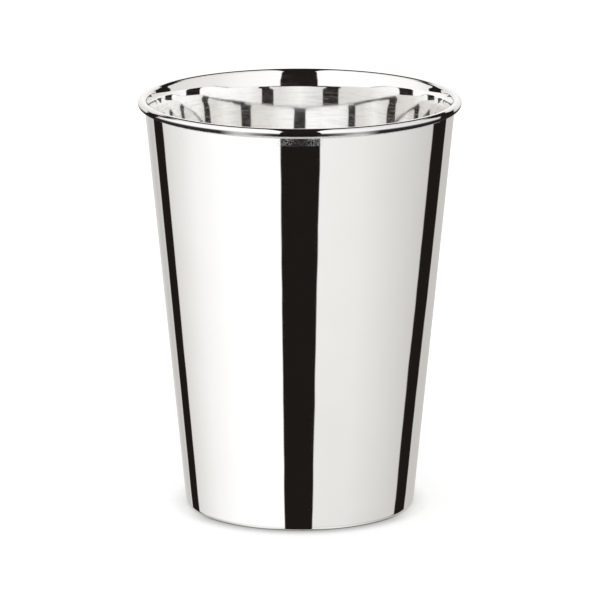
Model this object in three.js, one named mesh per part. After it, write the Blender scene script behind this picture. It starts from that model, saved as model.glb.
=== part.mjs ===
import * as THREE from "three";

// A plain tapered metal tumbler. Sizes are in millimetres, +Z is up and the cup stands on z = 0.
// Every piece is turned about the Z axis from a profile of radius and height.

// The whole cup. The foot diameter is where the wall's straight outer line would meet the table.
const cupHeight = 100;
const footDiameter = 55.4;
const wallTaperDegrees = 5.54;

// The wall is spun sheet. Its outer face is straight from the foot bend to the rim wire.
const wallThickness = 0.8;

// The inner face leaves the wire's round with a steep lean and rolls down to a short land.
// A slow bend follows, and below it the wall thins to the even sheet.
const rollTopDegrees = 19.8;
const rollLength = 2.15;
const innerLandDegrees = 7.4;
const innerLandLength = 1.1;
const slowBendLength = 4;
const slowBendEndDegrees = 4.9;
const thinningLength = 19;

// At the foot the sheet bends inwards and forms the flat ring that the cup stands on.
const footInnerBendRadius = 0.2;
const footRingWidth = 4.6;

// A round wire with a rebate sits over the wall's edge, with its centre outside the outer face.
const rimWireDiameter = 2.15;
const rimWireOffset = 0.43;
const wallEdgeBelowWireCentre = 0.45;

// The floor is a disc laid on the foot ring from inside, pressed up a little in the middle.
const floorThickness = 0.8;
const floorRise = 0.6;
const floorEdgeGap = 0.05;

// Solder joins the wire to the wall and the floor to the wall. The film is the gap left between pieces.
const solderFilm = 0.04;
const rimFilletLeg = 0.42;
const floorFilletLeg = 1.3;
const floorSolderDepthShare = 0.5;
const filletHollowShare = 0.35;

// How finely round shapes are divided.
const turnSteps = 72;
const footBendSteps = 5;
const rollSteps = 4;
const rollOnWireSteps = 2;
const slowBendSteps = 3;
const wireQuarterSteps = 6;
const filletSteps = 2;
const floorRiseSteps = 4;

const taper = THREE.MathUtils.degToRad(wallTaperDegrees);
const rollTopLean = THREE.MathUtils.degToRad(rollTopDegrees);
const innerLandLean = THREE.MathUtils.degToRad(innerLandDegrees);
const slowBendEndLean = THREE.MathUtils.degToRad(slowBendEndDegrees);
const quarterTurn = Math.PI / 2;

const point = (radius, height) => new THREE.Vector2(radius, height);

// Unit vectors for a wall that leans out by an angle: square to its outer face, and up along it.
const outwards = (lean) => point(Math.cos(lean), -Math.sin(lean));
const upwards = (lean) => point(Math.sin(lean), Math.cos(lean));

const shifted = (from, direction, distance) => from.clone().addScaledVector(direction, distance);

const onCircle = (centre, radius, angle) =>
  point(centre.x + radius * Math.cos(angle), centre.y + radius * Math.sin(angle));

// Points on a circle from one angle to another, both ends included.
function arc(centre, radius, fromAngle, toAngle, steps) {
  const points = [];
  for (let i = 0; i <= steps; i++) {
    points.push(onCircle(centre, radius, THREE.MathUtils.lerp(fromAngle, toAngle, i / steps)));
  }
  return points;
}

// Points on a face that leans by a changing angle, about a centre outside it, both ends included.
function leaning(centre, radius, fromLean, toLean, steps) {
  const points = [];
  for (let i = 0; i <= steps; i++) {
    points.push(shifted(centre, outwards(THREE.MathUtils.lerp(fromLean, toLean, i / steps)), -radius));
  }
  return points;
}

// The wall's outer face.
const wallLine = (height) => point(footDiameter / 2 + height * Math.tan(taper), height);

// Foot bend: its outer arc touches the table and the wall's outer line.
const footOuterBendRadius = footInnerBendRadius + wallThickness;
const footBendCentre = point(
  footDiameter / 2 - (footOuterBendRadius * (1 - Math.sin(taper))) / Math.cos(taper),
  footOuterBendRadius,
);
const footRingInnerRadius = footBendCentre.x - footRingWidth;

// Lip, outside: the wire's centre lies beside the wall's outer line, at the wire's radius below the top.
const rimWireRadius = rimWireDiameter / 2;
const rimWireHeight = cupHeight - rimWireRadius;
const rimWireCentre = shifted(
  wallLine(rimWireHeight + rimWireOffset * Math.sin(taper)),
  outwards(taper),
  rimWireOffset,
);

// A point near the lip, measured from the wire's centre: square to the wall's outer face, and up along it.
const atLip = (across, along) =>
  shifted(shifted(rimWireCentre, outwards(taper), across), upwards(taper), along);

// Lip, inside: the roll touches the wire's round, and the wire and the wall share it.
const rollRadius = rollLength / (rollTopLean - innerLandLean);
const rollCentre = shifted(rimWireCentre, outwards(rollTopLean), rollRadius - rimWireRadius);
const rollCentreAlong = (rimWireRadius - rollRadius) * Math.sin(rollTopLean - taper);

// How far the roll leans where it is a given distance along the lip from the wire's centre.
const rollLeanAt = (along) => taper + Math.asin((along - rollCentreAlong) / rollRadius);

function wallProfile() {
  const outer = [
    point(footRingInnerRadius, 0),
    ...arc(footBendCentre, footOuterBendRadius, -quarterTurn, -taper, footBendSteps),
    atLip(-rimWireOffset, -wallEdgeBelowWireCentre),
  ];
  const rollEdgeLean = rollLeanAt(-wallEdgeBelowWireCentre);
  const roll = leaning(rollCentre, rollRadius, rollEdgeLean, innerLandLean, rollSteps);
  const innerLandEnd = shifted(roll[rollSteps], upwards(innerLandLean), -innerLandLength);
  const slowBendRadius = slowBendLength / (innerLandLean - slowBendEndLean);
  const slowBendCentre = shifted(innerLandEnd, outwards(innerLandLean), slowBendRadius);
  const slowBend = leaning(slowBendCentre, slowBendRadius, innerLandLean, slowBendEndLean, slowBendSteps);
  const thinningEnd = wallLine(slowBend[slowBendSteps].y - thinningLength);
  const inner = [
    ...roll,
    ...slowBend,
    shifted(thinningEnd, outwards(taper), -wallThickness),
    ...arc(footBendCentre, footInnerBendRadius, -taper, -quarterTurn, footBendSteps),
    point(footRingInnerRadius, wallThickness),
  ];
  return [...outer, ...inner];
}

// A face lies a film outside the wall's outer face.
// It meets a round about the wire's centre this far along the lip.
const outerFaceAcross = solderFilm - rimWireOffset;
const meetsRoundAlong = (radius) => -Math.sqrt(radius ** 2 - outerFaceAcross ** 2);

const angleAboutWire = (place) => Math.atan2(place.y - rimWireCentre.y, place.x - rimWireCentre.x);

function rimWireProfile() {
  const rebateTop = solderFilm - wallEdgeBelowWireCentre;
  const underside = atLip(outerFaceAcross, meetsRoundAlong(rimWireRadius));
  const round = [
    ...arc(rimWireCentre, rimWireRadius, angleAboutWire(underside), 0, wireQuarterSteps),
    ...arc(rimWireCentre, rimWireRadius, 0, quarterTurn, wireQuarterSteps).slice(1),
    ...arc(rimWireCentre, rimWireRadius, quarterTurn, Math.PI - rollTopLean, wireQuarterSteps).slice(1),
  ];
  const roll = leaning(rollCentre, rollRadius, rollTopLean, rollLeanAt(rebateTop), rollOnWireSteps);
  return [...round, ...roll.slice(1), atLip(outerFaceAcross, rebateTop)];
}

// The hollow middle of a fillet's face, pulled from the straight line towards the corner.
const filletMiddle = (a, b, corner) => a.clone().lerp(b, 0.5).lerp(corner, filletHollowShare);

function rimSolderProfile() {
  const solderRadius = rimWireRadius + solderFilm;
  const cornerAlong = meetsRoundAlong(solderRadius);
  const corner = atLip(outerFaceAcross, cornerAlong);
  const lowEnd = atLip(outerFaceAcross, cornerAlong - rimFilletLeg);
  const cornerAngle = angleAboutWire(corner);
  const wireSide = arc(
    rimWireCentre,
    solderRadius,
    cornerAngle + rimFilletLeg / solderRadius,
    cornerAngle,
    filletSteps,
  );
  return [lowEnd, filletMiddle(lowEnd, wireSide[0], corner), ...wireSide];
}

const floorRadius = footBendCentre.x - floorEdgeGap;
const floorUnderside = wallThickness + solderFilm;
const floorTop = floorUnderside + floorThickness;

function floorProfile() {
  const rise = [];
  for (let i = 0; i <= floorRiseSteps; i++) {
    const share = i / floorRiseSteps;
    rise.push(point(footRingInnerRadius * share, floorRise * (1 - share ** 2)));
  }
  const lifted = (height) => rise.map((place) => point(place.x, place.y + height));
  return [
    ...lifted(floorUnderside),
    point(floorRadius, floorUnderside),
    point(floorRadius, floorTop),
    ...lifted(floorTop).reverse(),
  ];
}

// The wall's inner face below the lip, a film away from the metal.
const nearWall = (height) => {
  const across = (wallThickness + solderFilm) / Math.cos(taper);
  return point(wallLine(height).x - across, height);
};

function floorSolderProfile() {
  const bottom = floorTop - floorThickness * floorSolderDepthShare;
  const top = nearWall(floorTop + floorFilletLeg);
  const inner = point(floorRadius - floorFilletLeg, floorTop + solderFilm);
  const corner = nearWall(floorTop + solderFilm);
  const besideFloor = floorRadius + solderFilm;
  return [
    point(besideFloor, bottom),
    nearWall(bottom),
    top,
    filletMiddle(top, inner, corner),
    inner,
    point(besideFloor, floorTop + solderFilm),
  ];
}

const polishedSilver = new THREE.MeshStandardMaterial({ color: 0xdfddd8, roughness: 0.1, metalness: 1 });
const silverSolder = new THREE.MeshStandardMaterial({ color: 0xcfcbc2, roughness: 0.25, metalness: 1 });

const cup = new THREE.Group();
cup.name = "tumbler";

function addTurned(name, profile, material) {
  const geometry = new THREE.LatheGeometry(profile, turnSteps);
  geometry.rotateX(quarterTurn);
  const mesh = new THREE.Mesh(geometry, material);
  mesh.name = name;
  cup.add(mesh);
}

const closed = (profile) => [...profile, profile[0].clone()];

addTurned("side_wall", closed(wallProfile()), polishedSilver);
addTurned("rim_wire", closed(rimWireProfile()), polishedSilver);
addTurned("rim_solder", closed(rimSolderProfile()), silverSolder);
addTurned("floor_disc", floorProfile(), polishedSilver);
addTurned("floor_solder", closed(floorSolderProfile()), silverSolder);

export default cup;
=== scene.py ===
import math

import bmesh
import bpy
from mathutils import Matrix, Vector


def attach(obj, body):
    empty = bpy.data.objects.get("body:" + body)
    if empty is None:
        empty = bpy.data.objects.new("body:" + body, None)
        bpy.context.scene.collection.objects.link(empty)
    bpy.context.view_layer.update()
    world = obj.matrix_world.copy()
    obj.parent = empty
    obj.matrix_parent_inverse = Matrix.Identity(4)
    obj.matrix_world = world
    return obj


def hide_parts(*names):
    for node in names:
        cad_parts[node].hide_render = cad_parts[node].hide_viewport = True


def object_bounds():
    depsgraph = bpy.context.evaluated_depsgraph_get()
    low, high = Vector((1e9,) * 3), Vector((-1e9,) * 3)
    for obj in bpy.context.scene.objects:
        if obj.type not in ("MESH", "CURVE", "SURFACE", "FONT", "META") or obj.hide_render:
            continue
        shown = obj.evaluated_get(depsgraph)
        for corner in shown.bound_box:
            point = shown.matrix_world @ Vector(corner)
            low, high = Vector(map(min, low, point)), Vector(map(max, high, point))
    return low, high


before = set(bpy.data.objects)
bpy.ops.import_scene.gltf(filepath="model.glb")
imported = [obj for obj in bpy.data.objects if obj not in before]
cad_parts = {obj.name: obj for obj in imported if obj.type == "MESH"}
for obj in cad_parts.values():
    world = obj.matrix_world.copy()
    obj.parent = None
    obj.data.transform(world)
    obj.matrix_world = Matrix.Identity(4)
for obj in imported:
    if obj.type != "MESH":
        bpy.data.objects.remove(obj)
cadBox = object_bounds()
scene = bpy.context.scene
mm = 0.001
fullTurn = 2 * math.pi
quarterTurn = math.pi / 2
degree = 180 / math.pi
turnSteps = 256  # facets round the cup, fine enough for mirror metal
sharpAngle = 28  # corners steeper than this stay crisp
weldDistance = 0.0005 * mm
print("frame loaded:", ", ".join(sorted(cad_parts)))


# Shader maths: a value in a node tree that can be added, multiplied and so on
class Signal:
    def __init__(self, tree, socket=None):
        self.tree = tree
        self.socket = socket

    def add(self, kind, settings=None, inputs=None, output=0):
        node = self.tree.nodes.new(kind)
        for name, value in (settings or {}).items():
            if name == "stops":
                setStops(node.color_ramp, value)
            else:
                setattr(node, name, value)
        for name, value in (inputs or {}).items():
            if isinstance(value, Signal):
                self.tree.links.new(value.socket, node.inputs[name])
            else:
                node.inputs[name].default_value = value
        return Signal(self.tree, node.outputs[output] if node.outputs else None)

    def math(self, operation, *values):
        return self.add("ShaderNodeMath", {"operation": operation}, dict(enumerate(values)))

    def __add__(self, other):
        return self.math("ADD", self, other)

    def __sub__(self, other):
        return self.math("SUBTRACT", self, other)

    def __rsub__(self, other):
        return self.math("SUBTRACT", other, self)

    def __mul__(self, other):
        return self.math("MULTIPLY", self, other)

    def __truediv__(self, other):
        return self.math("DIVIDE", self, other)

    def __abs__(self):
        return self.math("ABSOLUTE", self)

    __radd__ = __add__
    __rmul__ = __mul__

    def parts(self):
        return [self.add("ShaderNodeSeparateXYZ", inputs={"Vector": self}, output=axis) for axis in "XYZ"]

    # 0 below low, 1 above high, soft between
    def softStep(self, low, high):
        ends = {"Value": self, "From Min": low, "From Max": high}
        return self.add("ShaderNodeMapRange", {"interpolation_type": "SMOOTHSTEP"}, ends)

    # a value looked up on a line drawn through (place, value) stops
    def follow(self, stops, peak=1.0):
        low, high = stops[0][0], stops[-1][0]
        shares = [((place - low) / (high - low), value / peak) for place, value in stops]
        share = (self - low) / (high - low)
        return self.add("ShaderNodeValToRGB", {"stops": shares}, {"Fac": share}) * peak

    def noise(self, scale, detail, dimensions="3D"):
        socket = "W" if dimensions == "1D" else "Vector"
        settings = {"noise_dimensions": dimensions}
        return self.add("ShaderNodeTexNoise", settings, {socket: self, "Scale": scale, "Detail": detail})


def emptyTree(owner):
    owner.use_nodes = True
    owner.node_tree.nodes.clear()
    return Signal(owner.node_tree)


def setStops(ramp, stops):
    while len(ramp.elements) > 1:
        ramp.elements.remove(ramp.elements[-1])
    for i, (position, shade) in enumerate(stops):
        element = ramp.elements[0] if i == 0 else ramp.elements.new(position)
        element.position = position
        colour = shade if isinstance(shade, tuple) else (shade, shade, shade)
        element.color = (*colour, 1)


# The studio: a white tent with openings, seen in the metal by its direction in degrees.
# Azimuth 0 is towards the camera and positive to the camera's right.
studio = {
    "strength": 1.06,
    "lowPanels": [(-180, 0.80), (-166, 0.64), (-152, 0.54), (-124, 0.68), (-90, 0.89), (-60, 1.0),
                  (0, 1.0), (10, 0.84), (48, 0.80), (90, 0.66), (120, 0.57), (150, 0.54), (180, 0.57)],
    "highPanels": [(-180, 0.92), (-150, 0.74), (-120, 0.78), (-100, 0.93), (-60, 1.0), (0, 1.0),
                   (20, 0.97), (48, 0.90), (70, 0.79), (118, 0.70), (148, 0.74), (180, 0.92)],
    "panelBlend": (-10, 3),
    "dimming": [(-180, 0.07), (-110, 0.07), (-85, 0.0), (0, 0.0), (12, 0.07), (180, 0.07)],
    "dimmingBlend": (-27.5, -22.5),
    "leftDimming": [(-180, 0.0), (-114, 0.0), (-98, 0.16), (-24, 0.16), (-12, 0.0), (180, 0.0)],
    "leftDimmingTop": (-6, 1),
    "leftDimmingFoot": (-20, -15),
    "footDimming": 0.14,
    "footDimmingBlend": (-33, -27.5),
    "gapShade": 0.012,
    "tint": [(0.0, (0.0, 0.0, 0.0)), (0.012, (0.012, 0.0095, 0.008)), (0.55, (0.55, 0.538, 0.515)),
             (0.8, (0.8, 0.793, 0.776)), (1.0, (1.0, 1.0, 1.0))],  # dim light is a little warmer
}
# the front opening, as its reach to either side against the height of the direction
frontGap = {
    "left": [(-1, 0.12), (-0.97, 0.155), (-0.83, 0.2), (-0.47, 0.24), (-0.45, 0.245), (-0.39, 0.235),
             (0.1, 0.238), (0.45, 0.215), (0.65, 0.18), (1, 0.18)],
    "right": [(-1, 0.1), (-0.97, 0.13), (-0.83, 0.168), (-0.47, 0.2), (-0.45, 0.203), (-0.42, 0.222),
              (-0.385, 0.2465), (0.1, 0.258), (0.45, 0.222), (0.65, 0.18), (1, 0.18)],
    "soft": 0.008,
    "backEnd": 0.47,
    "backSoft": 0.02,
}
# the openings behind to either side, as azimuths against pitch
sideGaps = [
    {
        "side": -1,
        "soft": 0.7,
        "near": [(-90, 126), (-14, 126), (0, 118), (6.5, 115.5), (8.5, 121), (13, 121), (16, 115),
                 (90, 115)],
        "far": [(-90, 142.5), (-14, 142.5), (0, 136), (6.5, 134), (8.5, 139.5), (13, 139.5), (16, 133),
                (90, 134)],
    },
    {
        "side": 1,
        "soft": 0.8,
        "near": [(-90, 114), (-21.5, 114.4), (-20.3, 115.3), (-18.9, 118.1), (-17, 120.4), (0, 117),
                 (6.5, 116.5), (8.5, 120), (13, 120), (16, 116), (90, 116)],
        "far": [(-90, 135), (-19.7, 135.4), (-18.5, 136.6), (-16.9, 140.7), (-15, 143.6), (0, 140),
                (6.5, 139.5), (8.5, 145), (13, 145), (16, 139), (25, 140), (27.5, 160), (36, 168),
                (90, 168)],
    },
]
sideReach = {"top": 37, "topSoft": 3, "bottom": -33, "bottomSoft": 4}
# the dark high up behind, and the pale ground below
backTop = {"azimuth": 133, "azimuthSoft": 4, "pitch": 33, "end": 77, "soft": 3, "shade": 0.01}
ground = {"start": -40, "end": -72, "shade": 0.85}


def makeStudio():
    world = bpy.data.worlds.new("white_tent")
    scene.world = world
    start = emptyTree(world)
    right, away, up = start.add("ShaderNodeTexCoord", output="Generated").parts()
    azimuth = start.math("ARCTAN2", right, 0 - away) * degree
    pitch = start.math("ARCSINE", up) * degree

    high = pitch.softStep(*studio["panelBlend"])
    shade = azimuth.follow(studio["lowPanels"]) * (1 - high) + azimuth.follow(studio["highPanels"]) * high
    low = 1 - pitch.softStep(*studio["dimmingBlend"])
    shade = shade * (1 - azimuth.follow(studio["dimming"]) * low)
    leftBand = pitch.softStep(*studio["leftDimmingFoot"])
    leftBand = leftBand * (1 - pitch.softStep(*studio["leftDimmingTop"]))
    shade = shade * (1 - azimuth.follow(studio["leftDimming"]) * leftBand)
    atFoot = 1 - pitch.softStep(*studio["footDimmingBlend"])
    shade = shade * (1 - studio["footDimming"] * atFoot)

    below = 1 - pitch.softStep(ground["end"], ground["start"])
    shade = shade * (1 - below) + ground["shade"] * below

    soft, backEnd, backSoft = frontGap["soft"], frontGap["backEnd"], frontGap["backSoft"]
    openFront = (right + up.follow(frontGap["left"])).softStep(-soft, soft)
    openFront = openFront * (up.follow(frontGap["right"]) - right).softStep(-soft, soft)
    openFront = openFront * (1 - away.softStep(backEnd - backSoft, backEnd + backSoft))
    shade = shade * (1 - openFront) + studio["gapShade"] * openFront

    top, topSoft = sideReach["top"], sideReach["topSoft"]
    bottom, bottomSoft = sideReach["bottom"], sideReach["bottomSoft"]
    level = 1 - pitch.softStep(top - topSoft, top + topSoft)
    level = level * pitch.softStep(bottom - bottomSoft, bottom + bottomSoft)
    for gap in sideGaps:
        turn, soft = azimuth * gap["side"], gap["soft"]
        opening = (turn - pitch.follow(gap["near"], 180)).softStep(-soft, soft)
        opening = opening * (pitch.follow(gap["far"], 180) - turn).softStep(-soft, soft) * level
        shade = shade * (1 - opening) + studio["gapShade"] * opening

    edge, edgeSoft, soft = backTop["azimuth"], backTop["azimuthSoft"], backTop["soft"]
    rise, end = backTop["pitch"], backTop["end"]
    upBehind = abs(azimuth).softStep(edge - edgeSoft, edge + edgeSoft)
    upBehind = upBehind * pitch.softStep(rise - soft, rise + soft)
    upBehind = upBehind * (1 - pitch.softStep(end - soft, end + soft))
    shade = shade * (1 - upBehind) + backTop["shade"] * upBehind

    tinted = start.add("ShaderNodeValToRGB", {"stops": studio["tint"]}, {"Fac": shade})
    mirrored = start.add("ShaderNodeBackground", inputs={"Color": tinted, "Strength": studio["strength"]})
    plain = start.add("ShaderNodeBackground", inputs={"Color": (1, 1, 1, 1), "Strength": 1.0})
    inMetal = start.add("ShaderNodeLightPath", output="Is Glossy Ray")
    picked = start.add("ShaderNodeMixShader", inputs={0: inMetal, 1: plain, 2: mirrored})
    start.add("ShaderNodeOutputWorld", inputs={"Surface": picked})


makeStudio()
print("studio made")

# The camera, fitted to the photograph
view = {
    "place": (0.055 * mm, -1190.1 * mm, 332.4 * mm),
    "pitchDown": 13.343,
    "lens": 303.2,
    "sensor": 36.0,
    "bounces": 16,  # light meets the metal many times inside the cup
}


def makeCamera():
    lens = bpy.data.cameras.new("camera")
    lens.lens = view["lens"]
    lens.sensor_width = view["sensor"]
    camera = bpy.data.objects.new("camera", lens)
    camera.location = view["place"]
    camera.rotation_euler = (quarterTurn - math.radians(view["pitchDown"]), 0, 0)
    scene.collection.objects.link(camera)
    scene.camera = camera
    scene.view_settings.view_transform = "Standard"
    scene.cycles.max_bounces = view["bounces"]
    scene.cycles.glossy_bounces = view["bounces"]


makeCamera()
print("camera placed")


# Profiles are drawn in the half plane y = 0, with x as the radius
def place(radius, height):
    return Vector((radius, 0, height))


def outwards(lean):
    return place(math.cos(lean), -math.sin(lean))


def upwards(lean):
    return place(math.sin(lean), math.cos(lean))


class Pen:
    def __init__(self, start):
        self.mesh = bmesh.new()
        self.tip = self.mesh.verts.new(start)

    def line(self, end, runs=1):
        step = (end - self.tip.co) / runs
        for _ in range(runs):
            grown = bmesh.ops.extrude_vert_indiv(self.mesh, verts=[self.tip])
            self.tip = grown["verts"][0]
            bmesh.ops.translate(self.mesh, verts=[self.tip], vec=step)

    # a positive turn goes anticlockwise, seen with x to the right and z up
    def arc(self, centre, turn, steps):
        swept = bmesh.ops.spin(
            self.mesh, geom=[self.tip], cent=centre, axis=(0, -1, 0), angle=turn, steps=steps
        )
        self.tip = [g for g in swept["geom_last"] if isinstance(g, bmesh.types.BMVert)][0]

    def turned(self, name):
        profile = self.mesh.verts[:] + self.mesh.edges[:]
        bmesh.ops.spin(
            self.mesh, geom=profile, cent=(0, 0, 0), axis=(0, 0, 1),
            angle=fullTurn, steps=turnSteps, use_merge=True,
        )
        bmesh.ops.remove_doubles(self.mesh, verts=self.mesh.verts, dist=weldDistance)
        bmesh.ops.recalc_face_normals(self.mesh, faces=self.mesh.faces)
        mesh = bpy.data.meshes.new(name)
        self.mesh.to_mesh(mesh)
        self.mesh.free()
        mesh.shade_smooth()
        mesh.set_sharp_from_angle(angle=math.radians(sharpAngle))
        piece = bpy.data.objects.new(name, mesh)
        scene.collection.objects.link(piece)
        return piece


# The spun wall with its turned-in foot ring
wall = {
    "footDiameter": 55.4 * mm,
    "taper": math.radians(5.54),
    "thickness": 0.8 * mm,
    "rollTop": math.radians(19.6),
    "rollLength": 2.2 * mm,
    "innerLand": math.radians(7.9),
    "innerLandLength": 0.85 * mm,
    "shoulderLength": 0.8 * mm,
    "shoulderEnd": math.radians(5.8),
    "slowBendLength": 4 * mm,
    "slowBendEnd": math.radians(4.95),
    "easeLength": 8 * mm,
    "footInnerBend": 0.2 * mm,
    "footRingWidth": 4.6 * mm,
    "cutEdgeRound": 0.12 * mm,
    "edgeBelowWire": 0.45 * mm,
    "straightRuns": 24,
    "ringRuns": 4,
    "landRuns": 2,
    "thinningRuns": 8,
    "bendSteps": 20,
    "rollSteps": 16,
    "edgeSteps": 4,
}
rim = {
    "wireRadius": 1.075 * mm,
    "wireOffset": 0.428 * mm,
    "filletRadius": 0.42 * mm,
    "roundSteps": 72,
    "rollSteps": 6,
    "filletSteps": 14,
    "seamSteps": 6,
    "seamRuns": 3,
}

taper = wall["taper"]
cupTop = cadBox[1].z
wireHeight = cupTop - rim["wireRadius"]
footBend = wall["footInnerBend"] + wall["thickness"]
footCentre = place(
    wall["footDiameter"] / 2 - footBend * (1 - math.sin(taper)) / math.cos(taper), footBend
)
ringInside = footCentre.x - wall["footRingWidth"]


def wallLine(height):
    return place(wall["footDiameter"] / 2 + height * math.tan(taper), height)


# The wire's centre lies outside the wall's outer face
wireCentre = wallLine(wireHeight + rim["wireOffset"] * math.sin(taper))
wireCentre = wireCentre + rim["wireOffset"] * outwards(taper)


# A place near the lip, from the wire's centre: square to the outer face, and up along it
def atLip(across, along):
    return wireCentre + across * outwards(taper) + along * upwards(taper)


# Inside the lip: a roll that touches the wire's round, shared by the wire and the wall
rollRadius = wall["rollLength"] / (wall["rollTop"] - wall["innerLand"])
rollCentre = wireCentre + (rollRadius - rim["wireRadius"]) * outwards(wall["rollTop"])
cutAlong = -wall["edgeBelowWire"] - (rollCentre - wireCentre).dot(upwards(taper))
cutLean = taper + math.asin(cutAlong / rollRadius)
cutInside = rollCentre - rollRadius * outwards(cutLean)
cutOutside = atLip(-rim["wireOffset"], -wall["edgeBelowWire"])


def makeWall():
    bend, soft, runs = quarterTurn - taper, wall["cutEdgeRound"], wall["straightRuns"]
    pen = Pen(place(ringInside + soft, 0))
    pen.line(place(footCentre.x, 0), wall["ringRuns"])
    pen.arc(footCentre, bend, wall["bendSteps"])
    pen.line(cutOutside, runs)
    pen.line(cutInside)
    pen.arc(rollCentre, cutLean - wall["innerLand"], wall["rollSteps"])
    pen.line(pen.tip.co - wall["innerLandLength"] * upwards(wall["innerLand"]), wall["landRuns"])
    for lean, length, end in (("innerLand", "shoulderLength", "shoulderEnd"),
                              ("shoulderEnd", "slowBendLength", "slowBendEnd")):
        turn = wall[lean] - wall[end]
        pen.arc(pen.tip.co + wall[length] / turn * outwards(wall[lean]), turn, wall["rollSteps"])
    # the wall thins down a straight stretch and eases into the even sheet
    thinning = taper - wall["slowBendEnd"]
    easeRadius = wall["easeLength"] / thinning
    sheet = cutOutside - wall["thickness"] * outwards(taper)
    excess = (sheet - pen.tip.co).dot(outwards(taper)) - easeRadius * (1 - math.cos(thinning))
    drop = excess / math.sin(thinning)
    pen.line(pen.tip.co - drop * upwards(wall["slowBendEnd"]), wall["thinningRuns"])
    pen.arc(pen.tip.co - easeRadius * outwards(wall["slowBendEnd"]), -thinning, wall["rollSteps"])
    pen.line(footCentre + wall["footInnerBend"] * outwards(taper), runs)
    pen.arc(footCentre, -bend, wall["bendSteps"])
    pen.line(place(ringInside + soft, wall["thickness"]), wall["ringRuns"])
    pen.arc(place(ringInside + soft, wall["thickness"] - soft), quarterTurn, wall["edgeSteps"])
    pen.line(place(ringInside, soft))
    pen.arc(place(ringInside + soft, soft), quarterTurn, wall["edgeSteps"])
    return pen.turned("spun_wall")


spunWall = makeWall()
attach(spunWall, "root")
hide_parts("side_wall")
print("wall spun:", len(spunWall.data.polygons), "faces")


# The round wire over the lip, and the solder drawn into the corner under it
def makeRim():
    radius, offset = rim["wireRadius"], rim["wireOffset"]
    underside = atLip(-offset, -math.sqrt(radius**2 - offset**2))
    start = (underside - wireCentre).normalized()
    startAngle = math.atan2(start.z, start.x)
    pen = Pen(underside)
    pen.arc(wireCentre, math.pi - wall["rollTop"] - startAngle, rim["roundSteps"])
    pen.arc(rollCentre, wall["rollTop"] - cutLean, rim["rollSteps"])
    pen.line(cutOutside)
    pen.line(underside)
    wire = pen.turned("rim_bead")

    fillet = rim["filletRadius"]
    along = -math.sqrt((radius + fillet) ** 2 - (offset - fillet) ** 2)
    filletCentre = atLip(fillet - offset, along)
    towards = (wireCentre - filletCentre).normalized()
    sweep = math.pi - taper - math.atan2(towards.z, towards.x)
    pen = Pen(atLip(-offset, along))
    pen.arc(filletCentre, -sweep, rim["filletSteps"])
    touch = (pen.tip.co - wireCentre).normalized()
    pen.arc(wireCentre, startAngle - math.atan2(touch.z, touch.x), rim["seamSteps"])
    pen.line(atLip(-offset, along), rim["seamRuns"])
    return wire, pen.turned("rim_solder_seam")


rimBead, rimSeam = makeRim()
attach(rimBead, "root")
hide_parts("rim_wire")
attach(rimSeam, "root")
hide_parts("rim_solder")
print("rim made")

# The floor disc, pressed up a little in the middle, and the solder round its edge
floorDisc = {
    "thickness": 0.8 * mm,
    "rise": 0.6 * mm,
    "edgeGap": 0.05 * mm,
    "film": 0.04 * mm,
    "cornerRound": 0.1 * mm,
    "filletLeg": 1.3 * mm,
    "solderDepth": 0.5,
    "domeSteps": 20,
    "cornerSteps": 4,
    "filletSteps": 12,
    "edgeRuns": 3,
}


def makeFloor():
    underside = wall["thickness"] + floorDisc["film"]
    top = underside + floorDisc["thickness"]
    edge, rise, soft = footCentre.x - floorDisc["edgeGap"], floorDisc["rise"], floorDisc["cornerRound"]
    steps, runs = floorDisc["cornerSteps"], floorDisc["edgeRuns"]
    domeRadius = (ringInside**2 + rise**2) / (2 * rise)
    domeTurn = math.asin(ringInside / domeRadius)
    pen = Pen(place(0, underside + rise))
    pen.arc(place(0, underside + rise - domeRadius), -domeTurn, floorDisc["domeSteps"])
    pen.line(place(edge - soft, underside), runs)
    pen.arc(place(edge - soft, underside + soft), quarterTurn, steps)
    pen.line(place(edge, top - soft))
    pen.arc(place(edge - soft, top - soft), quarterTurn, steps)
    pen.line(place(ringInside, top), runs)
    pen.arc(place(0, top + rise - domeRadius), domeTurn, floorDisc["domeSteps"])
    disc = pen.turned("floor_plate")

    # a hollow fillet that touches the floor and the wall's inner face
    across = wall["thickness"] / math.cos(taper)
    innerFace = place(wallLine(top).x - across, top)
    leg = floorDisc["filletLeg"]
    hollow = leg * math.tan((quarterTurn + taper) / 2)
    onWall = innerFace + leg * upwards(taper)
    bottom = top - floorDisc["thickness"] * floorDisc["solderDepth"]
    pen = Pen(onWall)
    pen.arc(onWall - hollow * outwards(taper), taper - quarterTurn, floorDisc["filletSteps"])
    pen.line(place(edge, top), runs)
    pen.line(place(edge, bottom))
    pen.line(place(wallLine(bottom).x - across, bottom))
    pen.line(onWall, runs)
    return disc, pen.turned("floor_solder_seam")


floorPlate, floorSeam = makeFloor()
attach(floorPlate, "root")
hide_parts("floor_disc")
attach(floorSeam, "root")
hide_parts("floor_solder")
print("floor made")

# Finishes. Lines round the cup come from stretched noise, so they have no start or end.
# Haze is the share of scuffed metal laid over the polished
silver = {
    "colour": (0.976, 0.973, 0.966),
    "dullColour": (0.962, 0.956, 0.942),
    "cloudScale": 60,
    "cloudDetail": 1,
    "clouds": (0.35, 0.8),
    "lineDetail": 3,
    "waveScale": 70,
    "waveDetail": 1,
    "waveDepth": 0.040 * mm,
}
rubbed = {
    "scale": 3800,
    "detail": 3,
    "specks": (0.42, 0.66),
    "haze": 0.62,
    "edge": (6.9, 8.9),
    "middle": (1, 4),  # degrees from the front over which it grows from middleShare to full
    "middleShare": 0.45,
}
# painted shade laid in the crease under the bead: a near-black, near-matt coat
shadePaint = {"colour": (0.010, 0.009, 0.008, 1), "roughness": 0.8, "shine": 0.05, "width": 0.6 * mm}


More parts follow.
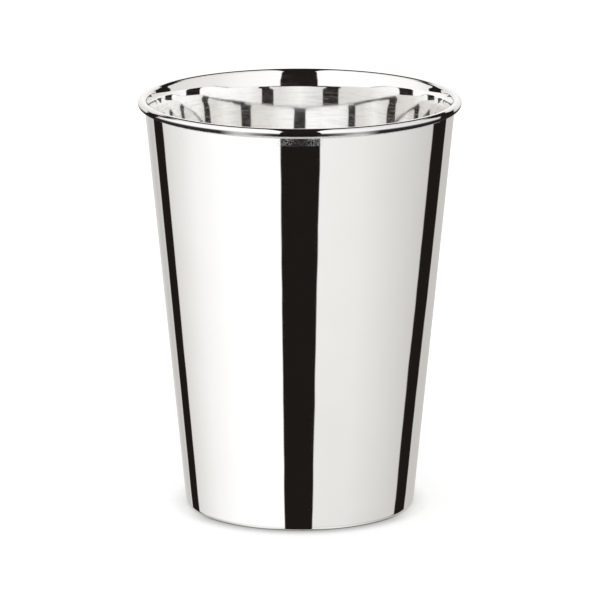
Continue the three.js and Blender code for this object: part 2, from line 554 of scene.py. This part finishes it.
def makeMetal(name, finish):
    metal = bpy.data.materials.new(name)
    start = emptyTree(metal)
    where = start.add("ShaderNodeTexCoord", output="Object")
    side, depth, rise = where.parts()
    turn = abs(start.math("ARCTAN2", side, 0 - depth)) * degree
    reach = start.math("SQRT", side * side + depth * depth)
    cloud = where.noise(silver["cloudScale"], silver["cloudDetail"]).softStep(*silver["clouds"])
    colours = {"Factor": cloud, "A": (*silver["colour"], 1), "B": (*silver["dullColour"], 1)}
    shade = start.add("ShaderNodeMix", {"data_type": "RGBA"}, colours, "Result")
    if "lineStretch" in finish:
        stretch = {0: where, 1: finish["lineStretch"]}
        stretched = start.add("ShaderNodeVectorMath", {"operation": "MULTIPLY"}, stretch)
        lines = stretched.noise(finish["lineScale"], silver["lineDetail"])
    else:
        lines = reach.noise(finish["lineScale"], silver["lineDetail"], "1D")  # rings left by the lathe
    waves = where.noise(silver["waveScale"], silver["waveDetail"]) * silver["waveDepth"]
    bump = start.add("ShaderNodeBump", inputs={"Height": waves, "Distance": 1.0})

    def silverSkin(roughness):
        sockets = {"Base Color": shade, "Metallic": 1.0, "Roughness": roughness, "Normal": bump}
        return start.add("ShaderNodeBsdfPrincipled", inputs=sockets)

    polished = silverSkin(finish["roughness"] + cloud * finish["cloudRoughness"])
    scuffed = silverSkin(finish["scuffRoughness"])
    haze = finish["haze"] + lines.softStep(*finish["scuffs"]) * finish["scuffHaze"]
    if "lip" in finish:
        # the lip is rubbed brighter than the inside below it
        haze = haze * (1 - rise.softStep(*finish["lip"]) * finish["lipPolish"])
    if "collar" in finish:
        # a rubbed patch under the bead at the front
        specks = where.noise(rubbed["scale"], rubbed["detail"]).softStep(*rubbed["specks"])
        patch = rise.softStep(*finish["collar"]) * (1 - turn.softStep(*rubbed["edge"]))
        share = rubbed["middleShare"]
        patch = patch * (share + turn.softStep(*rubbed["middle"]) * (1 - share))
        haze = haze + specks * patch * rubbed["haze"]
    if "seam" in finish:
        # solder run onto the bead's underside at the front, left matt
        seam = (1 - turn.softStep(*finish["seamEnd"])) * (1 - rise.softStep(*finish["seam"]))
        haze = haze + seam * finish["seamHaze"]
    skin = start.add("ShaderNodeMixShader", inputs={0: haze, 1: polished, 2: scuffed})
    if "shadeBand" in finish:
        # painted shade: a near-black, near-matt coat in the crease under the bead, weaker at some turns
        # towards the front and left off where the matt solder runs
        underBeadShade = (1 - rise.softStep(*finish["shadeBand"])) * turn.follow(finish["shadeRound"])
        underBeadShade = underBeadShade * reach.softStep(wireCentre.x - shadePaint["width"], wireCentre.x)
        if "seam" in finish:
            underBeadShade = underBeadShade * (1 - seam)
        paintedShade = start.add("ShaderNodeBsdfPrincipled", inputs={
            "Base Color": shadePaint["colour"],
            "Roughness": shadePaint["roughness"],
            "Specular IOR Level": shadePaint["shine"],
        })
        skin = start.add("ShaderNodeMixShader", inputs={0: underBeadShade, 1: skin, 2: paintedShade})
    start.add("ShaderNodeOutputMaterial", inputs={"Surface": skin})
    return metal


mirror = {
    "lineStretch": (0.05, 0.05, 1.0), "lineScale": 3000,
    "roughness": 0.03, "cloudRoughness": 0.01,
    "haze": 0.001, "scuffs": (0.55, 0.75), "scuffHaze": 0.008, "scuffRoughness": 0.4,
}
outsideFinish = {**mirror, "collar": (wireHeight - 3.4 * mm, wireHeight - 3.15 * mm)}
insideFinish = {
    "lineStretch": (0.05, 0.05, 1.0), "lineScale": 2200,
    "roughness": 0.035, "cloudRoughness": 0.01,
    "haze": 0.012, "scuffs": (0.55, 0.62), "scuffHaze": 0.15, "scuffRoughness": 0.4,
    "lip": (wireHeight - 4.5 * mm, wireHeight - 3 * mm), "lipPolish": 0.8,
}
# the painted shade in the crease under the bead: how strong it is against degrees from the front
rimFinish = {
    **mirror, "scuffRoughness": 0.85,
    "seam": (wireHeight - 0.8 * mm, wireHeight - 0.65 * mm), "seamEnd": (22, 28), "seamHaze": 0.95,
    "shadeBand": (wireHeight - 0.15 * mm, wireHeight + 0.2 * mm),
    "shadeRound": [(0, 0.98), (9, 0.98), (15, 0.75), (20, 0.4), (23, 0.45), (29, 0.98), (180, 0.98)],
}
solderFinish = {
    "lineStretch": (0.3, 0.3, 1.0), "lineScale": 900,
    "roughness": 0.1, "cloudRoughness": 0.03,
    "haze": 0.85, "scuffs": (0.5, 0.7), "scuffHaze": 0.15, "scuffRoughness": 0.85,
    # painted shade on the lower edge of the solder seam, left off at the front
    "shadeBand": (wireHeight - 0.9 * mm, wireHeight - 0.8 * mm),
    "shadeRound": [(0, 0.0), (22, 0.0), (28, 0.98), (180, 0.98)],
}
floorFinish = {
    "lineScale": 2600, "roughness": 0.05, "cloudRoughness": 0.01,
    "haze": 0.02, "scuffs": (0.5, 0.62), "scuffHaze": 0.22, "scuffRoughness": 0.4,
}
underFinish = {
    "lineScale": 1800, "roughness": 0.22, "cloudRoughness": 0.06,
    "haze": 0.1, "scuffs": (0.42, 0.62), "scuffHaze": 0.5, "scuffRoughness": 0.4,
}
wornFinish = {
    "lineStretch": (1.0, 1.0, 1.0), "lineScale": 1600,
    "roughness": 0.16, "cloudRoughness": 0.08,
    "haze": 0.08, "scuffs": (0.5, 0.6), "scuffHaze": 0.5, "scuffRoughness": 0.4,
}

outside = makeMetal("polished_outside", outsideFinish)
inside = makeMetal("spun_inside", insideFinish)
bead = makeMetal("polished_rim", rimFinish)
solder = makeMetal("matt_solder", solderFinish)
floorTop = makeMetal("turned_floor", floorFinish)
floorUnder = makeMetal("satin_underside", underFinish)
footWear = makeMetal("worn_foot", wornFinish)

standingTilt = 0.985  # how squarely a face looks down before it counts as standing


def dress(piece, *metals):
    for metal in metals:
        piece.data.materials.append(metal)


dress(spunWall, outside, inside, footWear)
for face in spunWall.data.polygons:
    radial = Vector((face.center.x, face.center.y, 0))
    face.material_index = 1 if face.normal.dot(radial) < 0 else 0
    if face.normal.z < -standingTilt:
        face.material_index = 2  # the ring that rubs on the table
dress(rimBead, bead)
dress(rimSeam, solder)
dress(floorPlate, floorTop, floorUnder)
for face in floorPlate.data.polygons:
    face.material_index = 1 if face.normal.z < 0 else 0
dress(floorSeam, solder)
print("metals made")

# A pale table, white to the camera apart from the cup's shadow
table = {
    "radius": 6.0,
    "segments": 64,
    "drop": 0.02 * mm,
    "colour": (0.74, 0.74, 0.74, 1),
    "lift": 0.39,
    "shadowReach": 4.5 * mm,
    "shadowSamples": 8,
    "shadowLift": 0.06,
    "sideFade": (0.75, 0.98),
    "sideLift": 0.6,
}


def makeTable():
    mesh = bmesh.new()
    made = bmesh.ops.create_circle(mesh, cap_ends=True, radius=table["radius"], segments=table["segments"])
    bmesh.ops.translate(mesh, verts=made["verts"], vec=(0, 0, -table["drop"]))
    data = bpy.data.meshes.new("table")
    mesh.to_mesh(data)
    mesh.free()
    top = bpy.data.objects.new("table", data)
    scene.collection.objects.link(top)
    paper = bpy.data.materials.new("white_paper")
    start = emptyTree(paper)
    side, depth, _ = start.add("ShaderNodeTexCoord", output="Object").parts()
    sideways = abs(side) / start.math("SQRT", side * side + depth * depth)
    fade = table["shadowLift"] + sideways.softStep(*table["sideFade"]) * table["sideLift"]

    # a colour darkened near the cup, less at its sides, where the panels light the table
    def shadowed(colour):
        nearness = {"Color": colour, "Distance": table["shadowReach"]}
        dark = start.add("ShaderNodeAmbientOcclusion", {"samples": table["shadowSamples"]}, nearness)
        blend = {"Factor": fade, "A": dark, "B": colour}
        return start.add("ShaderNodeMix", {"data_type": "RGBA"}, blend, "Result")

    sheet = start.add("ShaderNodeBsdfDiffuse", inputs={"Color": shadowed(table["colour"])})
    seen = start.add("ShaderNodeLightPath", output="Is Camera Ray")
    white = {"Color": shadowed((1, 1, 1, 1)), "Strength": seen * table["lift"]}
    lift = start.add("ShaderNodeEmission", inputs=white)
    both = start.add("ShaderNodeAddShader", inputs={0: sheet, 1: lift})
    start.add("ShaderNodeOutputMaterial", inputs={"Surface": both})
    data.materials.append(paper)
    top.visible_glossy = False


makeTable()
print("table laid")
